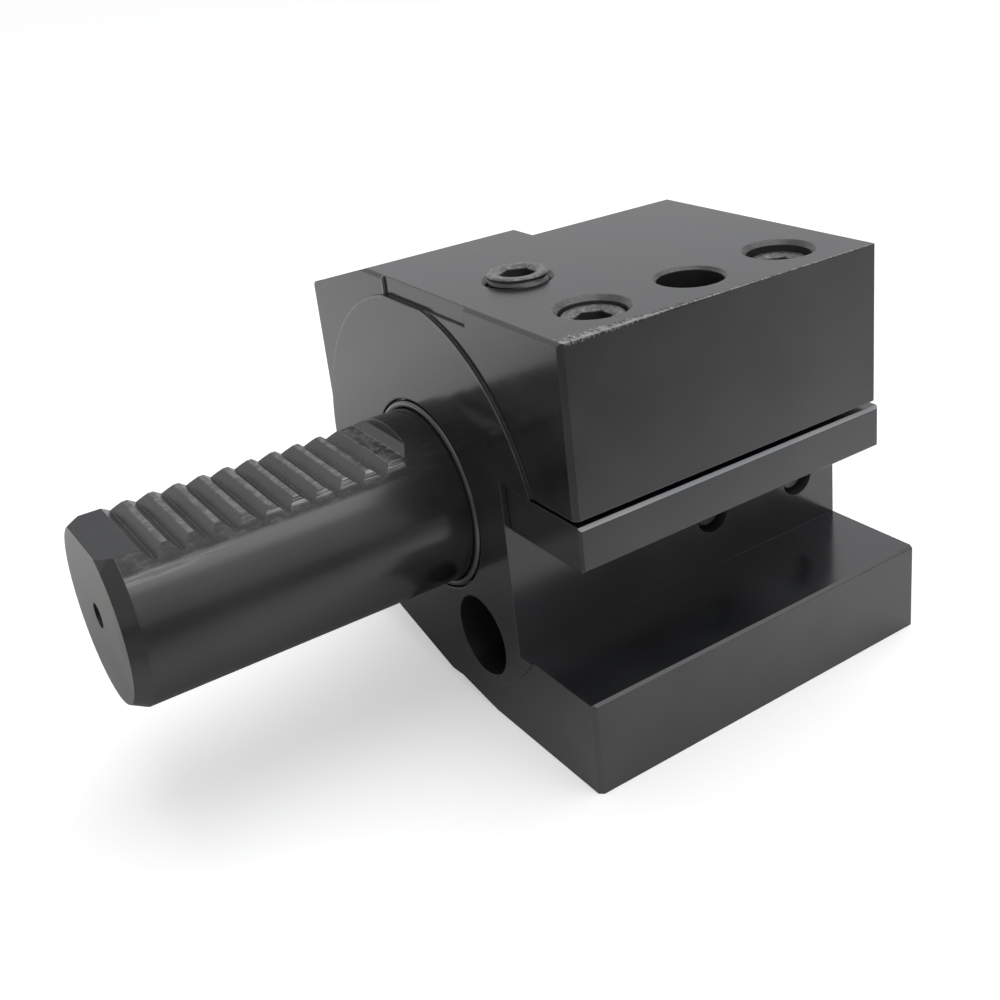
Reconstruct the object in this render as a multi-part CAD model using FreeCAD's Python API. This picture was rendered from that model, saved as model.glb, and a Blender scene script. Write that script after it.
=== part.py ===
import FreeCAD, Part
import math
import os

# Turret tool holder with a toothed round shank and a side slot for a square lathe tool.
# Millimetres. Origin: shank axis where it meets the contact face of the flange.
# +Y runs into the body, away from the shank. +X points to the open side of the slot. +Z is up.

# Shank
shank_d = 30.0
shank_len = 55.0
shank_chamfer_len = 2.3
shank_chamfer_depth = 1.3
centre_hole_d = 4.0
centre_hole_depth = 8.0
drill_point_half_angle = 59.0

# Rack of teeth on the shank's flat
rack_height = 12.1
tooth_pitch = 4.0
tooth_depth = 1.6
tooth_flank_angle = 45.0
groove_count = 10
reference_tooth = 29.7
teeth_above_reference = 4
rack_runout = 7.4
runout_height = 13.3

# Flange and body outline
contact_disc_d = 68.0
contact_step = 0.5
body_left = 34.1
body_right = 43.0
body_top = 36.5
body_bottom = 36.0
top_flat_left = 12.4
shoulder_angle = 16.5
under_knee_x = 1.6
under_knee_drop = 34.3
under_slope_angle = 15.0
under_flat_left = 14.0
flange_depth = 30.0
waist_left = 6.5
base_depth = 70.0
rear_step = 10.0
edge_break = 0.5
corner_round = 1.2
front_edge_chamfer = 0.7

# Shallow relief at the top of the front face
relief_left = -6.3
relief_right = 18.7
relief_floor = 33.4
relief_depth = 0.4

# Seal groove and seal ring round the shank's root
seal_section_d = 1.4
seal_section_sides = 6
seal_groove_depth = 1.25
seal_groove_width = 1.6
seal_shank_gap = 0.1
shank_root_undercut = 0.2

# Tool slot
seat_drop = 20.0
slot_height = 30.4
slot_wall_x = 24.4

# Clamping bar
bar_thickness = 7.1
bar_gap = 1.1
bar_front = 1.0
bar_side_gap = 0.15
bar_proud = 0.1
bar_chamfer = 0.5
bar_edge_break = 0.3

# Clamping screws in a row above the bar
screw_row_x = 33.5
screw_pitch = 18.0
clamp_screw_d = 10.0
thread_gap = 0.05
clamp_mouth_d = 11.6
front_screw_depth = 1.1
rear_screw_depth = 1.7
screw_chamfer = 0.9
screw_point_d = 7.0
hex_key = 5.0
hex_depth = 5.0

# Screw and spring that carry the bar from above
carrier_shoulder_z = 14.5
carrier_d = 5.0
carrier_head_d = 8.5
carrier_head_len = 5.0
carrier_hex = 4.0
carrier_hex_depth = 2.5
carrier_clear_d = 5.5
spring_len = 10.0
spring_wire_width = 1.0
spring_wire_height = 0.8
spring_mean_d = 7.0
spring_turns = 2.0
spring_end_gap = 0.05

# Side screws in the web beside the slot
side_screw_from_rear = 9.0
side_screw_pitch = 20.0
side_screw_z = -10.0
side_screw_d = 8.0
side_screw_len = 16.0
side_point_d = 5.5
side_point_len = 7.5
side_mouth_d = 6.8
side_mouth_len = 8.0
side_point_setback = 1.5
side_hex = 4.0
side_hex_depth = 4.0

# Coolant passages, top plug and rear ball nozzle
coolant_x = 13.0
coolant_z = -21.5
inlet_d = 14.0
inlet_depth = 14.0
channel_d = 6.0
riser_y = 14.0
riser_d = 8.5
plug_d = 10.0
plug_len = 12.0
plug_proud = 1.2
plug_mouth_d = 11.4
nozzle_seat_depth = 9.0
bush_d = 12.0
bush_len = 6.0
bush_setback = 1.2
bush_slot_width = 1.2
bush_slot_depth = 1.0
ball_d = 8.4
ball_gap = 0.1
ball_flat = 0.4
ball_bands = 5
jet_d = 2.5

# Extra length that takes a cutting tool clear of the face it passes
clear = 1.0

# Values worked out from the ones above
shank_r = shank_d / 2.0
root_r = shank_r - shank_root_undercut
seal_groove_outer_d = shank_d + 2.0 * seal_groove_width
upper_depth = base_depth - rear_step
slot_floor = -seat_drop
slot_ceiling = slot_floor + slot_height
bar_top = slot_ceiling - bar_gap
bar_bottom = bar_top - bar_thickness
screw_hole_d = clamp_screw_d + 2.0 * thread_gap
bar_len = upper_depth
carrier_y = bar_front + bar_len / 2.0
front_screw_y = carrier_y - screw_pitch
rear_screw_y = carrier_y + screw_pitch
side_screw_rear_y = base_depth - side_screw_from_rear
side_screw_front_y = side_screw_rear_y - side_screw_pitch
ramp_end = runout_height - rack_height - rack_runout
groove_half_width = tooth_depth * math.tan(math.radians(tooth_flank_angle))
top_layer = body_top - slot_ceiling
first_root = reference_tooth - (teeth_above_reference + 0.5) * tooth_pitch
shoulder_slope = math.tan(math.radians(shoulder_angle))
under_slope = math.tan(math.radians(under_slope_angle))
ball_y = base_depth - bush_setback - bush_len / 2.0

X_AXIS = FreeCAD.Vector(1, 0, 0)
Y_AXIS = FreeCAD.Vector(0, 1, 0)
Z_AXIS = FreeCAD.Vector(0, 0, 1)


def vec(x, y, z):
    return FreeCAD.Vector(x, y, z)


def box(x0, x1, y0, y1, z0, z1):
    return Part.makeBox(x1 - x0, y1 - y0, z1 - z0, vec(x0, y0, z0))


def rod(diameter, length, start, direction):
    return Part.makeCylinder(diameter / 2.0, length, start, direction)


def cone(start_d, end_d, length, start, direction):
    return Part.makeCone(start_d / 2.0, end_d / 2.0, length, start, direction)


def prism(points, vector):
    outline = Part.makePolygon(points + [points[0]])
    return Part.Face(outline).extrude(vector)


def hexagon(across_flats, depth, centre, direction):
    corner_r = across_flats / math.sqrt(3.0)
    points = []
    for i in range(6):
        angle = math.radians(60.0 * i)
        points.append(vec(corner_r * math.cos(angle), corner_r * math.sin(angle), 0))
    solid = prism(points, vec(0, 0, depth))
    solid.Placement = FreeCAD.Placement(centre, FreeCAD.Rotation(Z_AXIS, direction))
    return solid


def round_bar(profile, start, direction):
    # Revolves (radius, distance) points about the line from start along direction
    points = [vec(0, 0, profile[0][1])]
    points += [vec(radius, 0, along) for radius, along in profile]
    points.append(vec(0, 0, profile[-1][1]))
    outline = Part.makePolygon(points + [points[0]])
    solid = Part.Face(outline).revolve(vec(0, 0, 0), Z_AXIS, 360)
    solid.Placement = FreeCAD.Placement(start, FreeCAD.Rotation(Z_AXIS, direction))
    return solid


def ring(section, centre, direction):
    # Revolves a closed section of (radius, distance) points about the line through centre
    points = [vec(radius, 0, along) for radius, along in section]
    outline = Part.makePolygon(points + [points[0]])
    solid = Part.Face(outline).revolve(vec(0, 0, 0), Z_AXIS, 360)
    solid.Placement = FreeCAD.Placement(centre, FreeCAD.Rotation(Z_AXIS, direction))
    return solid


def near_edges(shape, matches):
    return [edge for edge in shape.Edges if matches(edge.CenterOfMass, edge)]


def body_outline():
    drop_left = under_knee_drop - under_slope * (body_left + under_knee_x)
    shoulder_z = body_top - shoulder_slope * (body_left - top_flat_left)
    return [
        vec(body_right, 0, body_top),
        vec(-top_flat_left, 0, body_top),
        vec(-body_left, 0, shoulder_z),
        vec(-body_left, 0, -drop_left),
        vec(under_knee_x, 0, -under_knee_drop),
        vec(under_flat_left, 0, -body_bottom),
        vec(body_right, 0, -body_bottom),
    ]


def body_block():
    block = prism(body_outline(), vec(0, base_depth, 0))
    far = 2.0 * base_depth
    behind_flange = box(-far, -waist_left, flange_depth, far, -far, far)
    behind_top = box(-far, far, upper_depth, far, slot_ceiling, far)
    block = block.cut(behind_flange).cut(behind_top)
    front = box(-far, far, -far, contact_step, -far, far)
    return block.cut(front)


def soften_block(block):
    def long_upright(middle, edge):
        upright = edge.BoundBox.ZLength > body_top and edge.BoundBox.XLength < 0.01
        return upright and abs(middle.x - body_right) < 0.01 and middle.y < upper_depth

    def left_corner(middle, edge):
        along_y = edge.BoundBox.YLength > flange_depth / 2.0
        return along_y and abs(middle.x + body_left) < 0.01

    def top_front(middle, edge):
        along_x = edge.BoundBox.XLength > top_flat_left
        on_top = abs(middle.z - body_top) < 0.01
        return along_x and on_top and abs(middle.y - contact_step) < 0.01

    block = block.makeFillet(corner_round, near_edges(block, left_corner))
    block = block.makeChamfer(front_edge_chamfer, near_edges(block, long_upright))
    return block.makeChamfer(edge_break, near_edges(block, top_front))


def contact_disc():
    disc = rod(contact_disc_d, contact_step, vec(0, 0, 0), Y_AXIS)
    outline = prism(body_outline(), vec(0, contact_step, 0))
    return disc.common(outline)


def turned(profile):
    # Revolves (distance along the axis, radius) points about the shank axis
    points = [vec(0, y, radius) for y, radius in profile]
    outline = Part.makePolygon(points + [points[0]])
    return Part.Face(outline).revolve(vec(0, 0, 0), Y_AXIS, 360)


def centre_hole():
    hole_r = centre_hole_d / 2.0
    point_len = hole_r / math.tan(math.radians(drill_point_half_angle))
    bottom = centre_hole_depth - shank_len
    return turned([(-shank_len - clear, 0), (-shank_len - clear, hole_r),
                   (bottom, hole_r), (bottom + point_len, 0)])


def rack_space():
    # The space over the teeth, the ramp behind them and the upright wall at the flange end
    beyond = -shank_len - clear
    outline = [(beyond, rack_height)]
    for index in reversed(range(groove_count)):
        root = -(first_root + index * tooth_pitch)
        outline.append((root - groove_half_width, rack_height))
        outline.append((root, rack_height - tooth_depth))
        outline.append((root + groove_half_width, rack_height))
    outline.append((-rack_runout, rack_height))
    outline.append((ramp_end, runout_height))
    outline.append((ramp_end, shank_r + clear))
    outline.append((beyond, shank_r + clear))
    points = [vec(-shank_d, y, z) for y, z in outline]
    return prism(points, vec(2.0 * shank_d, 0, 0))


def toothed_length():
    chamfer_start = shank_chamfer_len - shank_len
    tip_r = shank_r - shank_chamfer_depth
    blank = turned([(ramp_end, 0), (ramp_end, shank_r), (chamfer_start, shank_r),
                    (-shank_len, tip_r), (-shank_len, 0)])
    return blank.cut(rack_space()).cut(centre_hole())


def plain_neck():
    # The full round between the rack and the contact face, and its root inside the seal groove
    end = seal_groove_depth
    return turned([(ramp_end, 0), (ramp_end, shank_r), (0, shank_r), (0, root_r), (end, root_r), (end, 0)])


def seal_groove():
    recess = rod(seal_groove_outer_d, seal_groove_depth, vec(0, 0, 0), Y_AXIS)
    root = rod(2.0 * root_r, seal_groove_depth, vec(0, 0, 0), Y_AXIS)
    return recess.cut(root)


def front_relief():
    back = contact_step + relief_depth
    return box(relief_left, relief_right, -clear, back, relief_floor, body_top + clear)


def tool_slot():
    # The slot, with a small chamfer along the outer edge of its floor
    right = body_right + clear
    front = -clear
    length = base_depth + 2.0 * clear
    slot = box(slot_wall_x, right, front, front + length, slot_floor, slot_ceiling)
    corner = [
        vec(body_right - edge_break, front, slot_floor),
        vec(right, front, slot_floor - edge_break - clear),
        vec(right, front, slot_floor),
    ]
    return slot.fuse(prism(corner, vec(0, length, 0)))


def hole_mouth(mouth_d, hole_d, centre, direction):
    # A 45 degree countersink that widens a hole to mouth_d at centre
    return cone(mouth_d, hole_d, (mouth_d - hole_d) / 2.0, centre, direction)


def screw_hole(y):
    centre = vec(screw_row_x, y, body_top)
    hole = rod(screw_hole_d, top_layer + clear, centre, -Z_AXIS)
    return hole.fuse(hole_mouth(clamp_mouth_d, screw_hole_d, centre, -Z_AXIS))


def carrier_hole():
    centre = vec(screw_row_x, carrier_y, body_top)
    head_room = rod(screw_hole_d, body_top - carrier_shoulder_z, centre, -Z_AXIS)
    through = rod(carrier_clear_d, top_layer + clear, centre, -Z_AXIS)
    mouth_d = screw_hole_d + 2.0 * edge_break
    mouth = hole_mouth(mouth_d, screw_hole_d, centre, -Z_AXIS)
    return head_room.fuse(through).fuse(mouth)


def side_hole(y):
    wide_d = side_screw_d + 2.0 * thread_gap
    left = vec(-waist_left, y, side_screw_z)
    web = slot_wall_x + waist_left
    wide = rod(wide_d, web - side_mouth_len, left, X_AXIS)
    narrow = rod(side_mouth_d, web + clear, left, X_AXIS)
    entry = hole_mouth(wide_d + 2.0 * edge_break, wide_d, left, X_AXIS)
    return wide.fuse(narrow).fuse(entry)


def coolant_way():
    inlet = rod(inlet_d, inlet_depth, vec(coolant_x, 0, coolant_z), Y_AXIS)
    inlet_end = vec(coolant_x, inlet_depth, coolant_z)
    inlet_point = hole_mouth(inlet_d, channel_d, inlet_end, Y_AXIS)
    channel = rod(channel_d, base_depth, vec(coolant_x, 0, coolant_z), Y_AXIS)
    outlet = vec(coolant_x, base_depth, coolant_z)
    seat = rod(bush_d + 2.0 * thread_gap, nozzle_seat_depth, outlet, -Y_AXIS)
    return inlet.fuse(inlet_point).fuse(channel).fuse(seat)


def coolant_riser():
    top = vec(coolant_x, riser_y, body_top)
    riser = rod(riser_d, body_top - coolant_z, top, -Z_AXIS)
    plug_hole_d = plug_d + 2.0 * thread_gap
    plug_hole = rod(plug_hole_d, plug_len - plug_proud + clear, top, -Z_AXIS)
    mouth = hole_mouth(plug_mouth_d, plug_hole_d, top, -Z_AXIS)
    return riser.fuse(plug_hole).fuse(mouth)


def holder_body():
    flange = soften_block(body_block()).fuse(contact_disc())
    flange = flange.cut(tool_slot()).cut(seal_groove()).removeSplitter()
    body = flange.fuse(plain_neck()).fuse(toothed_length())
    cuts = [front_relief(), carrier_hole(), coolant_way(), coolant_riser()]
    cuts += [screw_hole(y) for y in (front_screw_y, rear_screw_y)]
    cuts += [side_hole(y) for y in (side_screw_front_y, side_screw_rear_y)]
    for tool in cuts:
        body = body.cut(tool)
    return body


def clamp_bar():
    left = slot_wall_x + bar_side_gap
    right = body_right + bar_proud
    bar = box(left, right, bar_front, bar_front + bar_len, bar_bottom, bar_top)

    def top_outer(middle, edge):
        return abs(middle.x - right) < 0.01 and abs(middle.z - bar_top) < 0.01

    def outer_rest(middle, edge):
        low = abs(middle.z - bar_bottom) < 0.01
        return abs(middle.x - right) < 0.01 and (low or edge.BoundBox.ZLength > bar_edge_break)

    bar = bar.makeChamfer(bar_chamfer, near_edges(bar, top_outer))
    bar = bar.makeChamfer(bar_edge_break, near_edges(bar, outer_rest))
    thread_d = carrier_d + 2.0 * thread_gap
    hole = rod(thread_d, bar_thickness, vec(screw_row_x, carrier_y, bar_top), -Z_AXIS)
    return bar.cut(hole)


def socket_screw(diameter, length, point_d, key, key_depth, start, direction):
    # Headless screw: its key end is at start, and its cone point lies along direction
    outer = diameter / 2.0
    point_r = point_d / 2.0
    profile = [
        (outer - screw_chamfer, 0),
        (outer, screw_chamfer),
        (outer, length - (outer - point_r)),
        (point_r, length),
    ]
    screw = round_bar(profile, start, direction)
    return screw.cut(hexagon(key, key_depth, start, direction))


def clamp_screw(y, depth):
    top = body_top - depth
    start = vec(screw_row_x, y, top)
    length = top - bar_top
    return socket_screw(clamp_screw_d, length, screw_point_d, hex_key, hex_depth, start, -Z_AXIS)


def bar_carrier_screw():
    head_bottom = carrier_shoulder_z + spring_len
    head_top = head_bottom + carrier_head_len
    head_r = carrier_head_d / 2.0
    break_r = head_r - bar_edge_break
    shaft_len = head_top - bar_bottom - bar_edge_break
    profile = [
        (break_r, 0),
        (head_r, bar_edge_break),
        (head_r, carrier_head_len),
        (carrier_d / 2.0, carrier_head_len),
        (carrier_d / 2.0, shaft_len),
    ]
    start = vec(screw_row_x, carrier_y, head_top)
    screw = round_bar(profile, start, -Z_AXIS)
    return screw.cut(hexagon(carrier_hex, carrier_hex_depth, start, -Z_AXIS))


def bar_spring():
    # Flat wire wound on a helix round the carrier screw
    half_width = spring_wire_width / 2.0
    half_height = spring_wire_height / 2.0
    coil_r = spring_mean_d / 2.0
    rise = spring_len - spring_wire_height - 2.0 * spring_end_gap
    section = Part.makePolygon([
        vec(coil_r - half_width, 0, -half_height),
        vec(coil_r + half_width, 0, -half_height),
        vec(coil_r + half_width, 0, half_height),
        vec(coil_r - half_width, 0, half_height),
        vec(coil_r - half_width, 0, -half_height),
    ])
    helix = Part.makeHelix(rise / spring_turns, rise, coil_r)
    spring = Part.Wire(helix).makePipeShell([section], True, True)
    base = carrier_shoulder_z + spring_end_gap + half_height
    spring.translate(vec(screw_row_x, carrier_y, base))
    return spring


def coolant_plug():
    start = vec(coolant_x, riser_y, body_top + plug_proud)
    return socket_screw(plug_d, plug_len, screw_point_d, hex_key, hex_depth, start, -Z_AXIS)


def side_screw(y):
    # A dog point reaches through the narrow end of its hole
    outer = side_screw_d / 2.0
    length = side_screw_len + side_point_len
    start = vec(slot_wall_x - side_point_setback - length, y, side_screw_z)
    profile = [
        (outer - screw_chamfer, 0),
        (outer, screw_chamfer),
        (outer, side_screw_len),
        (side_point_d / 2.0, side_screw_len),
        (side_point_d / 2.0, length),
    ]
    screw = round_bar(profile, start, X_AXIS)
    return screw.cut(hexagon(side_hex, side_hex_depth, start, X_AXIS))


def seal_ring():
    # Rests on the bottom of its groove and stands proud of the contact face
    section_r = seal_section_d / 2.0
    ring_r = shank_r + seal_shank_gap + section_r
    section = []
    for i in range(seal_section_sides):
        angle = 2.0 * math.pi * (i + 0.5) / seal_section_sides
        section.append((ring_r + section_r * math.cos(angle), section_r * math.sin(angle)))
    return ring(section, vec(0, seal_groove_depth - section_r, 0), Y_AXIS)


def nozzle_bush():
    # A turned bush whose two cones keep the ball and let it swivel
    mouth_y = base_depth - bush_setback
    start = vec(coolant_x, mouth_y, coolant_z)
    bush = rod(bush_d, bush_len, start, -Y_AXIS)
    passage = rod(channel_d, bush_len, start, -Y_AXIS)
    pocket_r = ball_d / 2.0 + ball_gap
    lip_r = channel_d / 2.0
    reach = math.sqrt(2.0) * pocket_r - lip_r
    land = reach - (pocket_r - lip_r)
    pocket = round_bar([(lip_r, -reach), (pocket_r, -land), (pocket_r, land), (lip_r, reach)],
                       vec(coolant_x, ball_y, coolant_z), Y_AXIS)
    half = bush_slot_width / 2.0
    slot_y = mouth_y - bush_slot_depth
    slot = box(coolant_x - bush_d, coolant_x + bush_d, slot_y, mouth_y,
               coolant_z - half, coolant_z + half)
    return bush.cut(pocket).cut(passage).cut(slot)


def nozzle_ball():
    # Turned in bands whose edges lie on the ball's true size, with a flat round the jet
    radius = ball_d / 2.0
    flat_at = radius - ball_flat
    mouth_angle = math.acos(flat_at / radius)
    back_angle = math.pi - math.asin(jet_d / ball_d)
    section = [(jet_d / 2.0, flat_at)]
    for i in range(ball_bands + 1):
        angle = mouth_angle + (back_angle - mouth_angle) * i / ball_bands
        section.append((radius * math.sin(angle), radius * math.cos(angle)))
    return ring(section, vec(coolant_x, ball_y, coolant_z), Y_AXIS)


def main():
    os.makedirs("parts", exist_ok=True)
    nodes = {
        "holder_body": holder_body(),
        "clamp_bar": clamp_bar(),
        "clamp_screw_front": clamp_screw(front_screw_y, front_screw_depth),
        "clamp_screw_rear": clamp_screw(rear_screw_y, rear_screw_depth),
        "bar_carrier_screw": bar_carrier_screw(),
        "bar_spring": bar_spring(),
        "coolant_plug": coolant_plug(),
        "shank_seal_ring": seal_ring(),
        "side_screw_front": side_screw(side_screw_front_y),
        "side_screw_rear": side_screw(side_screw_rear_y),
        "nozzle_bush": nozzle_bush(),
        "nozzle_ball": nozzle_ball(),
    }
    for name, shape in nodes.items():
        print(name, len(shape.Solids), round(shape.Volume, 1), shape.isValid())
        shape.exportStep("parts/" + name + ".step")


main()
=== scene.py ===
import math

import bpy
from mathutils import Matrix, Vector


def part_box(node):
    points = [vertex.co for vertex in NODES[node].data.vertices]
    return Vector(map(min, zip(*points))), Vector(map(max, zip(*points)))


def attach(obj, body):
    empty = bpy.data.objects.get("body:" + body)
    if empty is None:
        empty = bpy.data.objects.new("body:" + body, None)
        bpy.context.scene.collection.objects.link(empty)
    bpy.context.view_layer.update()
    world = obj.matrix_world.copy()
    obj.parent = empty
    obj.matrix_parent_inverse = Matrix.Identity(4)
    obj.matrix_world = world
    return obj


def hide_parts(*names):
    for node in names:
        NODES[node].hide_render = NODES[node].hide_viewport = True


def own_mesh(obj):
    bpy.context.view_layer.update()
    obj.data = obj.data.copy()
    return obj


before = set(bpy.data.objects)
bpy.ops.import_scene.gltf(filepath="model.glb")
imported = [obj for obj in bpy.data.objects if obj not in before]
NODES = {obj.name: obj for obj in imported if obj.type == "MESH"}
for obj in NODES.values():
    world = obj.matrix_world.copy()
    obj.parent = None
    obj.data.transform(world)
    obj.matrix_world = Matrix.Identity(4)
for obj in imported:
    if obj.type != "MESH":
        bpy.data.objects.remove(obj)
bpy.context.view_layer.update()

MM = 0.001
COLLECTION = bpy.context.scene.collection

# Camera at the photograph's viewpoint
CAMERA_PLACE = Vector((0.1720, -0.0849, 0.0913))
CAMERA_TURN = (67.766, 5.194, 54.972)
CAMERA_LENS = 45.58
CAMERA_SENSOR = 36.0
CAMERA_SHIFT = (-0.0521, -0.0957)


def centre_of(node):
    low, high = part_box(node)
    return (low + high) / 2.0


# Places taken from the frame, in mm
SCREW_ROW_X = centre_of("clamp_screw_front").x / MM
SCREW_ROW_Y = centre_of("clamp_screw_front").y / MM
SCREW_PITCH = centre_of("bar_carrier_screw").y / MM - SCREW_ROW_Y
PLUG_X = centre_of("coolant_plug").x / MM
PLUG_Y = centre_of("coolant_plug").y / MM
BODY_LOW, BODY_HIGH = (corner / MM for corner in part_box("holder_body"))
BAR_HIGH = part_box("clamp_bar")[1] / MM

# Fixed sizes and places of the holder, in mm
SHANK_R = 15.0
SHANK_END = -55.0
CHAMFER_START = -52.7
CENTRE_HOLE_R = 2.0
TOOTH_CREST = 12.1
TOOTH_ROOT = 10.5
END_FLAT_Y = -48.0
DISC_R = 34.0
CONTACT_STEP = 0.5
RELIEF_LEFT = -6.3
RELIEF_FLOOR = 33.4
RELIEF_DEPTH = 0.4
SLOT_WALL_X = 24.4
SLOT_FLOOR = -20.0
SLOT_CEILING = 10.4


# Node trees

class Nodes:
    """A node tree, with short calls that add its nodes and link them."""

    def __init__(self, tree):
        self.tree = tree

    def add(self, kind, **settings):
        node = self.tree.nodes.new(kind)
        for key, value in settings.items():
            setattr(node, key, value)
        return node

    def feed(self, socket, value):
        if isinstance(value, bpy.types.NodeSocket):
            self.tree.links.new(value, socket)
        else:
            socket.default_value = value

    def math(self, operation, first, second=0.0, clamp=False):
        node = self.add("ShaderNodeMath", operation=operation, use_clamp=clamp)
        self.feed(node.inputs[0], first)
        self.feed(node.inputs[1], second)
        return node.outputs[0]

    def product(self, first, *others):
        for other in others:
            first = self.math("MULTIPLY", first, other)
        return first

    def span(self, value, low, high, to_low=0.0, to_high=1.0, ease="SMOOTHSTEP"):
        """Runs from to_low to to_high while the value runs from low to high."""
        node = self.add("ShaderNodeMapRange", interpolation_type=ease)
        self.feed(node.inputs["Value"], value)
        self.feed(node.inputs["From Min"], low)
        self.feed(node.inputs["From Max"], high)
        self.feed(node.inputs["To Min"], to_low)
        self.feed(node.inputs["To Max"], to_high)
        return node.outputs["Result"]

    def dot(self, first, second):
        node = self.add("ShaderNodeVectorMath", operation="DOT_PRODUCT")
        self.feed(node.inputs[0], first)
        self.feed(node.inputs[1], second)
        return node.outputs["Value"]

    def mixed(self, share, first, second):
        """A colour between two others."""
        node = self.add("ShaderNodeMix", data_type="RGBA")
        self.feed(node.inputs[0], share)
        self.feed(node.inputs[6], first)
        self.feed(node.inputs[7], second)
        return node.outputs[2]

    def blended(self, share, first, second):
        """A number between two others."""
        node = self.add("ShaderNodeMix")
        self.feed(node.inputs[0], share)
        self.feed(node.inputs[2], first)
        self.feed(node.inputs[3], second)
        return node.outputs[0]


class Surface(Nodes):
    """A material with one Principled shader, and its place on the object in mm."""

    def __init__(self, name):
        self.material = bpy.data.materials.new(name)
        self.material.use_nodes = True
        super().__init__(self.material.node_tree)
        self.shader = self.tree.nodes["Principled BSDF"]
        place = self.add("ShaderNodeTexCoord")
        self.place = self.scaled(place.outputs["Object"], 1.0 / MM)
        split = self.add("ShaderNodeSeparateXYZ")
        self.feed(split.inputs[0], self.place)
        self.x, self.y, self.z = split.outputs

    def scaled(self, vector, factor):
        node = self.add("ShaderNodeVectorMath", operation="MULTIPLY")
        self.feed(node.inputs[0], vector)
        amounts = factor if isinstance(factor, tuple) else (factor, factor, factor)
        self.feed(node.inputs[1], amounts)
        return node.outputs[0]

    def noise(self, place, scale, detail=3.0, roughness=0.55):
        node = self.add("ShaderNodeTexNoise")
        self.feed(node.inputs["Vector"], place)
        self.feed(node.inputs["Scale"], scale)
        self.feed(node.inputs["Detail"], detail)
        self.feed(node.inputs["Roughness"], roughness)
        return node.outputs["Fac"]

    def joined(self, x, y, z):
        node = self.add("ShaderNodeCombineXYZ")
        for socket, value in zip(node.inputs, (x, y, z)):
            self.feed(socket, value)
        return node.outputs[0]

    def distance(self, first, second):
        squares = self.math("ADD", self.product(first, first), self.product(second, second))
        return self.math("SQRT", squares)

    def shank_radius(self):
        return self.distance(self.x, self.z)

    def top_hole_radius(self):
        """Distance from the axis of the nearest hole in the top face."""
        along = self.math("SUBTRACT", self.y, SCREW_ROW_Y - SCREW_PITCH / 2.0)
        along = self.math("SUBTRACT", self.math("FLOORED_MODULO", along, SCREW_PITCH), SCREW_PITCH / 2.0)
        in_row = self.distance(self.math("SUBTRACT", self.x, SCREW_ROW_X), along)
        plug = self.distance(self.math("SUBTRACT", self.x, PLUG_X), self.math("SUBTRACT", self.y, PLUG_Y))
        return self.math("MINIMUM", in_row, plug)

    def rounded_normal(self, radius):
        node = self.add("ShaderNodeBevel", samples=6)
        node.inputs["Radius"].default_value = radius
        return node.outputs[0]

    def edge_share(self, rounded):
        """How far the rounded normal turns from the face: 0 on a flat, 1 on a sharp edge."""
        flat = self.add("ShaderNodeNewGeometry").outputs["Normal"]
        return self.span(self.dot(rounded, flat), 0.995, 0.80)

    def bump(self, height, strength, distance, normal):
        node = self.add("ShaderNodeBump")
        self.feed(node.inputs["Height"], height)
        self.feed(node.inputs["Strength"], strength)
        self.feed(node.inputs["Distance"], distance)
        self.feed(node.inputs["Normal"], normal)
        return node.outputs[0]


def grey(level, tint=(1.0, 1.0, 1.0)):
    return (level * tint[0], level * tint[1], level * tint[2], 1.0)


# Black oxide steel. The oxide is a dark, glossy film; bare steel shows where an edge is rubbed, and is
# painted on in a few places as a highlight or sheen.

OXIDE_IOR = 2.0
BLACK = 0.018
WARM = (1.05, 1.0, 0.95)
COOL = (0.93, 0.98, 1.08)
BROWN = (1.08, 1.02, 0.93)
BARE_STEEL_AND_SHEEN = (0.50, 0.49, 0.47, 1.0)


def tool_marks(surface, direction):
    """Fine lines left by the tool, as noise drawn out along the way that it moved."""
    if direction in ("rings", "hole_rings"):
        radius = surface.shank_radius() if direction == "rings" else surface.top_hole_radius()
        wobble = surface.noise(surface.place, 0.25, 1.0)
        radius = surface.math("ADD", radius, surface.product(wobble, 0.3))
        return surface.noise(surface.joined(radius, 0.0, 0.0), 4.5, 4.0, 0.7)
    stretch = {
        "hoops": (0.05, 5.0, 0.05),
        "along_x": (0.04, 3.5, 3.5),
        "along_y": (3.5, 0.04, 3.5),
        "none": (1.3, 1.3, 1.3),
    }[direction]
    return surface.noise(surface.scaled(surface.place, stretch), 1.0, 4.0, 0.65)


def from_top_edge(surface):
    """Distance from the top face's outer edge in mm, counted four times as fast down the side."""
    drop = surface.product(surface.math("SUBTRACT", BODY_HIGH.z, surface.z), 4.0)
    return surface.math("ADD", surface.math("SUBTRACT", BODY_HIGH.x, surface.x), drop)


def chipped_edge(surface):
    """Bare steel on the top face's outer edge: broad strokes at the front that thin out towards the back."""
    strokes = surface.noise(surface.scaled(surface.place, (0.8, 2.2, 0.8)), 1.0, 4.0, 0.75)
    width = surface.span(surface.y, 1.0, 26.0, 2.6, 0.35)
    reach = surface.product(width, surface.span(strokes, 0.38, 0.66))
    return surface.span(surface.math("SUBTRACT", from_top_edge(surface), reach), 0.15, -0.15, 0.0, 0.9)


def edge_dashes(surface):
    """Dull dashes between the bright strokes of the chipped edge."""
    strokes = surface.noise(surface.scaled(surface.place, (0.8, 1.6, 0.8)), 1.0, 3.0, 0.6)
    width = surface.span(surface.y, 4.0, 46.0, 1.6, 0.3)
    near = surface.span(surface.math("SUBTRACT", from_top_edge(surface), width), 0.15, -0.15)
    return surface.product(near, surface.span(strokes, 0.46, 0.54))


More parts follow.
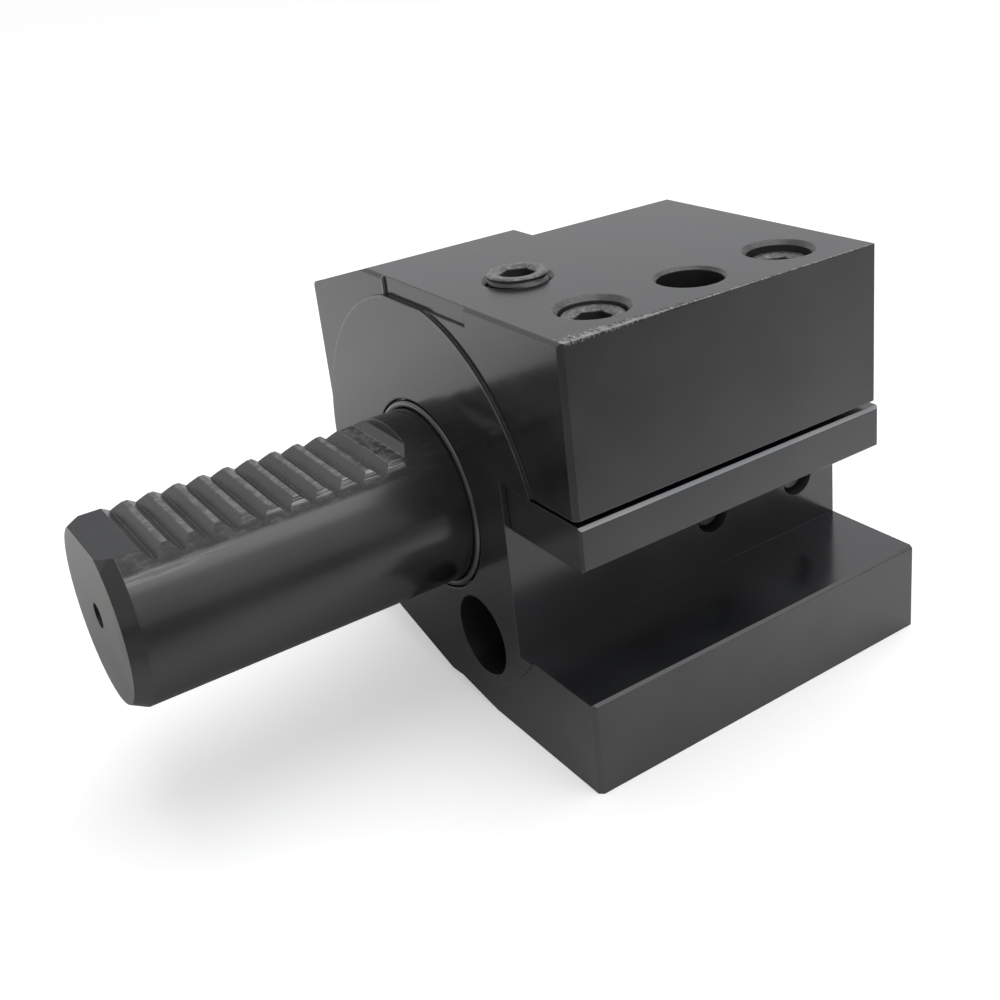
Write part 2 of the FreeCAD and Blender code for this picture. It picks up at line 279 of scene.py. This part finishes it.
def oxide(name, level, roughness, marks, depth=0.02, blotch=0.3, tint=WARM, edge=0.22, rubbed=0.4,
          wear_and_sheen_marks=None, matt=None, ior=OXIDE_IOR):
    surface = Surface(name)
    cloud = surface.noise(surface.place, 0.07, 2.0, 0.5)
    speck = surface.noise(surface.place, 2.6, 4.0, 0.7)
    lines = tool_marks(surface, marks)
    tone = surface.span(cloud, 0.35, 0.68)
    colour = surface.mixed(tone, grey(level * (1.0 - blotch), COOL), grey(level * (1.0 + blotch), tint))
    colour = surface.mixed(surface.span(speck, 0.58, 0.80, 0.0, 0.12), colour, grey(level * 2.0, tint))

    rounded = surface.rounded_normal(edge * MM)
    turn = surface.edge_share(rounded)
    patches = surface.span(surface.noise(surface.place, 1.1, 5.0, 0.75), 0.50, 0.66)
    wear_and_sheen = surface.math("MULTIPLY", surface.product(turn, patches), rubbed, clamp=True)
    if wear_and_sheen_marks:
        wear_and_sheen = surface.math("MAXIMUM", wear_and_sheen, wear_and_sheen_marks(surface))
    colour = surface.mixed(wear_and_sheen, colour, BARE_STEEL_AND_SHEEN)

    gloss = surface.math("ADD", surface.span(cloud, 0.3, 0.7, -0.03, 0.015), roughness)
    gloss = surface.math("ADD", gloss, surface.span(lines, 0.3, 0.7, -0.01, 0.01))
    gloss = surface.math("ADD", gloss, surface.span(speck, 0.55, 0.8, 0.0, 0.005), clamp=True)

    shader = surface.shader
    shader.inputs["IOR"].default_value = ior
    if matt:
        dull = matt(surface)
        gloss = surface.math("ADD", gloss, surface.product(dull, 0.15))
        surface.feed(shader.inputs["Specular IOR Level"], surface.span(dull, 0.0, 1.0, 0.5, 0.24))
    surface.feed(shader.inputs["Base Color"], colour)
    surface.feed(shader.inputs["Metallic"], wear_and_sheen)
    surface.feed(shader.inputs["Roughness"], gloss)
    fine = surface.bump(lines, depth, 0.02 * MM, rounded)
    surface.feed(shader.inputs["Normal"], surface.bump(speck, 0.006, 0.01 * MM, fine))
    return surface.material


def plain_finish(name, low, high, roughness, metallic=0.0, ior=1.5):
    """Rubber, brass, ball or spring steel: two tones mixed by a cloud, with a grained bump."""
    surface = Surface(name)
    cloud = surface.noise(surface.place, 0.4, 4.0, 0.6)
    grain = surface.noise(surface.place, 3.0, 4.0, 0.7)
    colour = surface.mixed(surface.span(cloud, 0.3, 0.7), low, high)
    shader = surface.shader
    shader.inputs["IOR"].default_value = ior
    shader.inputs["Metallic"].default_value = metallic
    surface.feed(shader.inputs["Base Color"], colour)
    gloss = surface.span(grain, 0.3, 0.7, roughness - 0.05, roughness + 0.08)
    surface.feed(shader.inputs["Roughness"], gloss)
    rounded = surface.rounded_normal(0.1 * MM)
    surface.feed(shader.inputs["Normal"], surface.bump(grain, 0.1, 0.02 * MM, rounded))
    return surface.material


# Wear on the holder and its screws, and painted highlight and sheen, as a share of bare steel or of dullness

def painted_rim_highlights(surface):
    """Painted highlights: a thin light line along the upper edge of the contact disc, and another at the
    left end of the relief.
    """
    radius = surface.shank_radius()
    line = surface.product(surface.span(radius, DISC_R - 0.6, DISC_R - 0.3),
                           surface.span(radius, DISC_R + 0.1, DISC_R - 0.1))
    upper = surface.product(surface.span(surface.y, 0.3, 0.2), surface.span(surface.z, 8.0, 26.0))
    patches = surface.span(surface.noise(surface.place, 0.5, 3.0), 0.3, 0.6, 0.15, 0.30)
    beside = surface.product(surface.span(surface.x, RELIEF_LEFT - 0.5, RELIEF_LEFT - 0.3),
                             surface.span(surface.x, RELIEF_LEFT + 0.1, RELIEF_LEFT))
    above_floor = surface.span(surface.z, RELIEF_FLOOR - 0.1, RELIEF_FLOOR + 0.1, 0.0, 0.5)
    rim = surface.product(line, upper, patches)
    return surface.math("MAXIMUM", rim, surface.product(beside, above_floor))


def off_chamfer(surface):
    """0 on the chamfer at the shank's end, 1 behind it."""
    return surface.span(surface.y, CHAMFER_START - 0.1, CHAMFER_START + 0.2)


def streaks_and_painted_sheen(surface):
    """Bare streaks at the ends of the teeth and along a band below them, the band's streaks partly a painted
    highlight, and a painted sheen: the side lighter below the teeth, fading towards the flange.
    """
    streaks = surface.noise(surface.scaled(surface.place, (4.0, 0.10, 4.0)), 1.0, 3.0, 0.7)
    streaks = surface.span(streaks, 0.42, 0.60)
    over = surface.span(surface.z, 8.6, 9.0)
    under = surface.span(surface.z, 10.2, 9.6)
    # The bare streaks on this band below the teeth are partly a painted highlight.
    band = surface.product(over, under, surface.span(surface.y, -24.0, -50.0))
    ends = surface.product(surface.span(surface.z, TOOTH_ROOT + 0.4, TOOTH_ROOT + 0.9),
                           surface.span(surface.y, -40.0, -22.0),
                           surface.span(surface.y, -7.6, -8.2))
    side = surface.product(surface.span(surface.x, 6.0, 8.0), off_chamfer(surface))
    share = surface.product(surface.math("MAXIMUM", surface.product(band, 0.55), ends), side)
    # Painted sheen: the shank's side made lighter and more metallic below the teeth, fading towards the
    # flange.
    rubbed = surface.product(surface.span(surface.z, 2.0, 8.0, 0.0, 0.13), under,
                             surface.span(surface.y, -5.0, -24.0))
    return surface.math("MAXIMUM", surface.product(streaks, share, 0.75), surface.product(rubbed, side))


def matt_land(surface):
    """Mottled, less glossy oxide between the teeth and the bright band."""
    mottle = surface.noise(surface.scaled(surface.place, (1.0, 0.35, 1.0)), 0.9, 5.0, 0.75)
    share = surface.product(surface.span(surface.z, 9.5, 10.3), surface.span(surface.x, 5.0, 7.0),
                            off_chamfer(surface))
    return surface.product(share, surface.span(mottle, 0.30, 0.62, 0.25, 1.0))


def crest_wear(surface):
    """A thin rubbed line along the crests of the teeth."""
    patches = surface.span(surface.noise(surface.place, 0.8, 4.0, 0.7), 0.40, 0.62)
    line = surface.product(surface.span(surface.z, TOOTH_CREST - 0.2, TOOTH_CREST - 0.05),
                           surface.span(surface.z, TOOTH_CREST + 0.1, TOOTH_CREST + 0.05))
    return surface.product(line, patches, 0.3)


def tooth_mottle(surface):
    """Dull specks on the teeth, thickest at their roots."""
    specks = surface.noise(surface.scaled(surface.place, (1.0, 1.5, 1.5)), 2.6, 5.0, 0.8)
    limit = surface.span(surface.z, TOOTH_CREST - 0.3, TOOTH_ROOT + 0.2, 0.66, 0.52)
    return surface.span(surface.math("SUBTRACT", specks, limit), -0.03, 0.06, 0.0, 0.7)


def mouth_rings(surface):
    """Bare rings and scratches in a hole's mouth."""
    rings = surface.span(tool_marks(surface, "hole_rings"), 0.45, 0.60)
    scratches = surface.span(surface.noise(surface.place, 1.5, 5.0, 0.8), 0.42, 0.62)
    return surface.product(rings, scratches, 0.35)


def key_wear(surface):
    """The top of a screw, rubbed by its key."""
    patches = surface.span(surface.noise(surface.place, 1.4, 5.0, 0.75), 0.44, 0.60, 0.0, 0.42)
    return surface.product(surface.span(surface.z, -0.8, -0.2), patches)


# Which finish goes where on the holder

def holder_finishes():
    return {
        "block": oxide("oxide_block", BLACK, 0.24, "along_y", 0.01, wear_and_sheen_marks=chipped_edge, matt=edge_dashes),
        "block_front": oxide("oxide_block_front", BLACK, 0.24, "along_x", 0.01),
        "flange": oxide("oxide_flange", BLACK, 0.16, "rings", edge=0.35, wear_and_sheen_marks=painted_rim_highlights),
        "relief": oxide("oxide_relief", BLACK, 0.16, "rings", edge=0.06),
        "slot": oxide("oxide_slot", 0.020, 0.20, "along_y", blotch=0.2, tint=COOL, edge=0.06, rubbed=0.1),
        "shank": oxide("oxide_shank", 0.013, 0.20, "hoops", 0.06, wear_and_sheen_marks=streaks_and_painted_sheen, matt=matt_land),
        "shank_end": oxide("oxide_shank_end", 0.21, 0.33, "rings", 0.10, blotch=0.12, tint=BROWN),
        "rack": oxide("oxide_rack", 0.019, 0.32, "along_x", 0.16, blotch=0.6, rubbed=0.5,
                      wear_and_sheen_marks=crest_wear, matt=tooth_mottle),
        "rack_flat": oxide("oxide_rack_flat", 0.020, 0.45, "along_x", 0.10, tint=COOL, ior=1.6),
        "mouth": oxide("oxide_mouth", 0.030, 0.34, "hole_rings", 0.6, blotch=0.5, rubbed=0.6,
                       wear_and_sheen_marks=mouth_rings),
        "side_hole": oxide("oxide_side_hole", 0.045, 0.40, "none", 0.20, blotch=0.5),
        "bore": oxide("oxide_bore", 0.007, 0.45, "none", 0.20, blotch=0.5),
        # A painted highlight: light grey oxide for the left end wall of the relief.
        "rubbed": oxide("oxide_painted_highlight", 0.16, 0.35, "along_x", 0.06, blotch=0.2),
    }


# A normal's share along an axis: of a face that looks roughly that way, and of one square to it
FACING = 0.9
SQUARE = 0.999


def shank_finish(centre, normal):
    """The finish of one face of the shank, from its centre (mm) and its normal."""
    from_axis = math.hypot(centre.x, centre.z)
    if from_axis < CENTRE_HOLE_R + 0.3:
        return "bore"
    if normal.y < -FACING:
        return "shank_end" if centre.y < SHANK_END + 1.0 else "rack"
    if normal.z > FACING and centre.y < END_FLAT_Y:
        return "rack_flat"
    outward = (centre.x * normal.x + centre.z * normal.z) / from_axis
    turned = outward > 0.75 and abs(normal.y) < 0.8 and abs(normal.x) > 1e-3
    clear_of_rack = from_axis > SHANK_R - 0.5 or centre.z < TOOTH_ROOT + 0.5
    return "shank" if turned and clear_of_rack else "rack"


def holder_finish(centre, normal):
    """The finish of one face of the holder, from its centre (mm) and its normal."""
    if centre.y < -0.05:
        return shank_finish(centre, normal)

    beside_slot = SLOT_FLOOR - 0.6 < centre.z < SLOT_CEILING + 0.2
    in_slot = beside_slot and SLOT_WALL_X - 1.0 < centre.x < BODY_HIGH.x - 0.01
    if in_slot and (abs(normal.z) > FACING or normal.x > FACING):
        return "slot"

    front = centre.y < CONTACT_STEP + 1.7 and normal.y < -0.6
    if front:
        recessed = centre.z > RELIEF_FLOOR and abs(centre.y - CONTACT_STEP - RELIEF_DEPTH) < 0.01
        return "relief" if recessed else "flange"

    # The relief's left end wall takes the light "rubbed" finish, a painted highlight.
    at_relief = centre.y < CONTACT_STEP + 0.5 and centre.z > RELIEF_FLOOR and abs(centre.x) < 8.0
    if at_relief and normal.x > FACING:
        return "rubbed"

    across_web = abs(normal.x) < 0.01 and max(abs(normal.y), abs(normal.z)) < SQUARE
    in_web = centre.y > 3.0 and centre.x > 8.0 and SLOT_FLOOR < centre.z < SLOT_CEILING
    if across_web and in_web:
        return "side_hole"

    near_top = centre.z > BODY_HIGH.z - 1.5
    cone = 0.6 < normal.z < 0.8 and abs(normal.y) < 0.8
    if near_top and cone and centre.y > 3.0 and centre.x > 5.0:
        return "mouth"

    square = max(abs(normal.x), abs(normal.y), abs(normal.z)) > SQUARE
    outer_side = centre.x < -6.0 or centre.x > BODY_HIGH.x - 2.0
    outer = near_top or outer_side or centre.z < SLOT_FLOOR - 3.0 or centre.y > BAR_HIGH.y - 1.2
    if square and outer:
        return "block_front" if abs(normal.y) > FACING else "block"
    return "block" if outer_side else "bore"


def dress_holder():
    holder = NODES["holder_body"]
    finishes = holder_finishes()
    names = list(finishes)
    holder.data.materials.clear()
    for name in names:
        holder.data.materials.append(finishes[name])
    for face in holder.data.polygons:
        face.material_index = names.index(holder_finish(face.center / MM, face.normal))


def dress(piece, material):
    piece.data.materials.clear()
    piece.data.materials.append(material)


def dress_bar():
    """Black oxide, with the chamfer along the outer top edge rubbed bright."""
    bar = NODES["clamp_bar"]
    dress(bar, oxide("oxide_bar", BLACK, 0.20, "along_y", rubbed=0.35, ior=2.05))
    bar.data.materials.append(oxide("rubbed_chamfer", 0.30, 0.33, "along_y", 0.06, blotch=0.15, edge=0.08))
    for face in bar.data.polygons:
        place = face.center / MM
        chamfer = place.z > BAR_HIGH.z - 1.0 and 0.5 < face.normal.x < FACING
        face.material_index = 1 if chamfer else 0


# Threaded screws that stand for the plain ones of the frame. Lengths are in mm.

AROUND = 72
ROWS_PER_TURN = 6
THREAD_DEPTH = 0.6
TIP_GAP = 0.02
M10 = {"diameter": 10.0, "pitch": 1.5, "key": 5.0, "key_depth": 5.0, "tip_d": 7.0}
M8_WITH_DOG = {"diameter": 8.0, "pitch": 1.25, "key": 4.0, "key_depth": 4.0, "tip_d": 5.7, "dog_len": 7.5}
TOWARDS_X = (0.0, math.radians(-90.0), 0.0)


def hex_radius(across_flats, angle):
    sector = math.radians(60.0)
    return across_flats / 2.0 / math.cos(angle % sector - sector / 2.0)


def lathe_mesh(name, rows, place, turn):
    """Joins rows that give (radius, depth) for an angle, all AROUND points long, closed at both ends."""
    points = []
    for row in rows:
        for i in range(AROUND):
            angle = 2.0 * math.pi * i / AROUND
            radius, depth = row(angle)
            points.append((radius * math.cos(angle) * MM, radius * math.sin(angle) * MM, -depth * MM))
    faces = []
    for k in range(len(rows) - 1):
        for i in range(AROUND):
            j = (i + 1) % AROUND
            here, there = k * AROUND, (k + 1) * AROUND
            faces.append((here + i, there + i, there + j, here + j))
    faces.append(tuple(range(AROUND)))
    faces.append(tuple(reversed(range((len(rows) - 1) * AROUND, len(rows) * AROUND))))
    mesh = bpy.data.meshes.new(name)
    mesh.from_pydata(points, [], faces)
    mesh.update()
    piece = bpy.data.objects.new(name, mesh)
    piece.location = place
    piece.rotation_euler = turn
    COLLECTION.objects.link(piece)
    mesh.shade_smooth()
    mesh.set_sharp_from_angle(angle=math.radians(32.0))
    return piece


def fixed(radius, depth):
    return lambda angle: (radius, depth)


def socket_row(key, depth):
    return lambda angle: (hex_radius(key, angle), depth)


def thread_row(outer, pitch, depth, length, tip_r):
    """One row of a helical thread that runs out in the chamfers at both ends."""
    def row(angle):
        phase = (depth / pitch - angle / (2.0 * math.pi)) % 1.0
        groove = THREAD_DEPTH * (1.0 - abs(2.0 * phase - 1.0))
        radius = min(outer - groove, tip_r + length - depth)
        return radius, depth
    return row


def threaded_screw(name, node, diameter, pitch, key, key_depth, tip_d, dog_len=0.0, turn=(0.0, 0.0, 0.0)):
    low, high = (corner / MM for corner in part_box(node))
    sideways = dog_len > 0.0
    length = (high.x - low.x if sideways else high.z - low.z) - TIP_GAP
    middle = (low + high) / 2.0
    start = Vector((low.x, middle.y, middle.z)) if sideways else Vector((middle.x, middle.y, high.z))
    outer = diameter / 2.0
    tip_r = tip_d / 2.0
    body_len = length - dog_len
    corner = key / math.sqrt(3.0)
    rows = [
        fixed(0.05, key_depth + 1.2),
        socket_row(key, key_depth),
        socket_row(key, 0.45),
        fixed(corner + 0.15, 0.18),
        fixed(corner + 0.35, 0.06),
        fixed((corner + outer) / 2.0, 0.0),
        fixed(outer - 0.45, 0.02),
        fixed(outer - 0.15, 0.25),
    ]
    first, last = 0.7, body_len - 0.05
    count = int((last - first) / pitch * ROWS_PER_TURN)
    for k in range(count + 1):
        depth = first + (last - first) * k / count
        rows.append(thread_row(outer, pitch, depth, body_len, tip_r))
    rows.append(fixed(tip_r - 0.1, body_len))
    if sideways:
        rows.append(fixed(tip_r - 0.1, length - 0.3))
        rows.append(fixed(tip_r - 0.4, length))
    rows.append(fixed(0.05, length))
    piece = lathe_mesh(name, rows, start * MM, turn)
    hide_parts(node)
    return piece


def make_screws(finish):
    top_screws = {
        "clamp_screw_front": "front_screw",
        "clamp_screw_rear": "rear_screw",
        "coolant_plug": "holder",
    }
    for node, body in top_screws.items():
        piece = threaded_screw(node + "_threaded", node, **M10)
        dress(piece, finish)
        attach(piece, body)
    for node in ("side_screw_front", "side_screw_rear"):
        piece = threaded_screw(node + "_threaded", node, turn=TOWARDS_X, **M8_WITH_DOG)
        dress(piece, finish)
        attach(piece, "holder")


def make_spring(finish):
    """The coil of the frame, which the bar and its screw press together as they come down. Here it is only
    copied, with a mesh of its own, and hung from the holder.
    """
    node = NODES["bar_spring"]
    coil = bpy.data.objects.new("bar_spring_coil", node.data.copy())
    COLLECTION.objects.link(coil)
    dress(coil, finish)
    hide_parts("bar_spring")
    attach(coil, "holder")
    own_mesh(coil)


def make_seal(finish):
    """A round ring that stands a little proud of the contact face."""
    tube_r = 0.6
    proud = 0.4
    place = (0, (tube_r - proud) * MM, 0)
    bpy.ops.mesh.primitive_torus_add(major_radius=(SHANK_R + tube_r) * MM, minor_radius=tube_r * MM,
                                     major_segments=160, minor_segments=24,
                                     location=place, rotation=(math.radians(90.0), 0, 0))
    ring = bpy.context.object
    ring.name = "seal_ring_round"
    ring.data.shade_smooth()
    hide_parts("shank_seal_ring")
    dress(ring, finish)
    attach(ring, "holder")


# Floor, surroundings and lamp

PAPER_WHITE = 0.82
CAMERA_LIFT = 0.44
MIRROR_LIFT = 0.05
SKY_TINT = (0.985, 0.993, 1.012, 1.0)
WHITE = (1.0, 1.0, 1.0, 1.0)


def make_floor():
    """White paper that keeps the shadow. Its mirror image is bright behind and dim at the front right."""
    bpy.ops.mesh.primitive_plane_add(size=8.0, location=(0, 0, BODY_LOW.z * MM))
    floor = bpy.context.object
    floor.name = "floor"
    material = bpy.data.materials.new("floor_paper")
    material.use_nodes = True
    material.node_tree.nodes.clear()
    nodes = Nodes(material.node_tree)
    place = nodes.add("ShaderNodeTexCoord").outputs["Object"]
    rays = nodes.add("ShaderNodeLightPath")

    def zone(direction, start, end, low, high):
        return nodes.span(nodes.dot(place, direction), start, end, low, high, "LINEAR")

    left = zone((-1.0, 0.4, 0.0), 0.02, 0.13, 0.20, 0.88)
    near = zone((-1.2, 1.0, 0.0), -0.150, -0.010, 0.22, 0.80)
    far = zone((-1.2, 1.0, 0.0), -0.150, -0.010, 0.15, 0.53)
    right = nodes.blended(zone((1.0, 0.0, 0.0), 0.09, 0.14, 0.0, 1.0), near, far)
    mirrored = nodes.blended(zone((1.0, 0.0, 0.0), -0.01, 0.04, 0.0, 1.0), left, right)
    paper = nodes.add("ShaderNodeBsdfDiffuse")
    nodes.feed(paper.inputs["Color"], nodes.blended(rays.outputs["Is Glossy Ray"], PAPER_WHITE, mirrored))
    lift = nodes.add("ShaderNodeEmission")
    in_mirror = nodes.blended(rays.outputs["Is Glossy Ray"], 0.0, MIRROR_LIFT)
    nodes.feed(lift.inputs["Strength"], nodes.blended(rays.outputs["Is Camera Ray"], in_mirror, CAMERA_LIFT))
    both = nodes.add("ShaderNodeAddShader")
    nodes.feed(both.inputs[0], paper.outputs[0])
    nodes.feed(both.inputs[1], lift.outputs[0])
    out = nodes.add("ShaderNodeOutputMaterial")
    nodes.feed(out.inputs["Surface"], both.outputs[0])
    floor.data.materials.append(material)


def make_world():
    """White to the camera. To other rays, a bright ceiling and back left and a dim front right."""
    world = bpy.data.worlds.new("studio")
    bpy.context.scene.world = world
    world.use_nodes = True
    world.node_tree.nodes.clear()
    nodes = Nodes(world.node_tree)
    place = nodes.add("ShaderNodeTexCoord").outputs["Generated"]
    to_camera = nodes.add("ShaderNodeLightPath").outputs["Is Camera Ray"]
    sides = nodes.span(nodes.dot(place, (-0.80, 0.60, 0.0)), -0.40, 0.90, 0.30, 0.66)
    ceiling = nodes.span(nodes.dot(place, (0.25, 0.25, 0.935)), 0.74, 0.84, 0.0, 1.10)
    room = nodes.math("MAXIMUM", sides, ceiling)
    background = nodes.add("ShaderNodeBackground")
    nodes.feed(background.inputs["Color"], nodes.mixed(to_camera, SKY_TINT, WHITE))
    nodes.feed(background.inputs["Strength"], nodes.blended(to_camera, room, 1.0))
    out = nodes.add("ShaderNodeOutputWorld")
    nodes.feed(out.inputs["Surface"], background.outputs[0])


def make_lamp(name, place, size, brightness):
    """A soft box that lights the scene and casts its shadow but isn't mirrored in the steel."""
    light = bpy.data.lights.new(name, "AREA")
    light.shape = "RECTANGLE"
    light.size, light.size_y = size
    light.energy = brightness * math.pi * size[0] * size[1]
    lamp = bpy.data.objects.new(name, light)
    lamp.location = place
    lamp.rotation_euler = (-Vector(place)).to_track_quat("-Z", "Y").to_euler()
    lamp.visible_glossy = False
    COLLECTION.objects.link(lamp)


def make_camera():
    camera_data = bpy.data.cameras.new("camera")
    camera_data.lens = CAMERA_LENS
    camera_data.sensor_width = CAMERA_SENSOR
    camera_data.shift_x, camera_data.shift_y = CAMERA_SHIFT
    camera_data.clip_start = 0.01
    camera = bpy.data.objects.new("camera", camera_data)
    camera.location = CAMERA_PLACE
    camera.rotation_euler = [math.radians(angle) for angle in CAMERA_TURN]
    COLLECTION.objects.link(camera)
    bpy.context.scene.camera = camera


dress_holder()
screw_steel = oxide("oxide_screw", 0.045, 0.33, "none", 0.20, blotch=0.5, edge=0.25, rubbed=0.9,
                    wear_and_sheen_marks=key_wear)
carrier_steel = oxide("oxide_carrier", 0.030, 0.33, "none", 0.20, blotch=0.5, edge=0.25, rubbed=0.9)
rubber = plain_finish("seal_rubber", grey(0.018, COOL), grey(0.030, COOL), 0.18, ior=2.2)
brass = plain_finish("nozzle_brass", (0.42, 0.28, 0.11, 1.0), (0.55, 0.40, 0.19, 1.0), 0.34, metallic=1.0)
ball_steel = plain_finish("ball_steel", grey(0.30, COOL), grey(0.45), 0.18, metallic=1.0)
spring_steel = plain_finish("spring_steel", grey(0.20, COOL), grey(0.32), 0.35, metallic=1.0)

dress_bar()
dress(NODES["bar_carrier_screw"], carrier_steel)
dress(NODES["nozzle_bush"], brass)
dress(NODES["nozzle_ball"], ball_steel)
make_screws(screw_steel)
make_spring(spring_steel)
make_seal(rubber)

make_floor()
make_world()
make_lamp("box_above", (0.05, 0.10, 0.95), (0.8, 0.8), 1.6)
make_camera()
bpy.context.scene.view_settings.view_transform = "Standard"
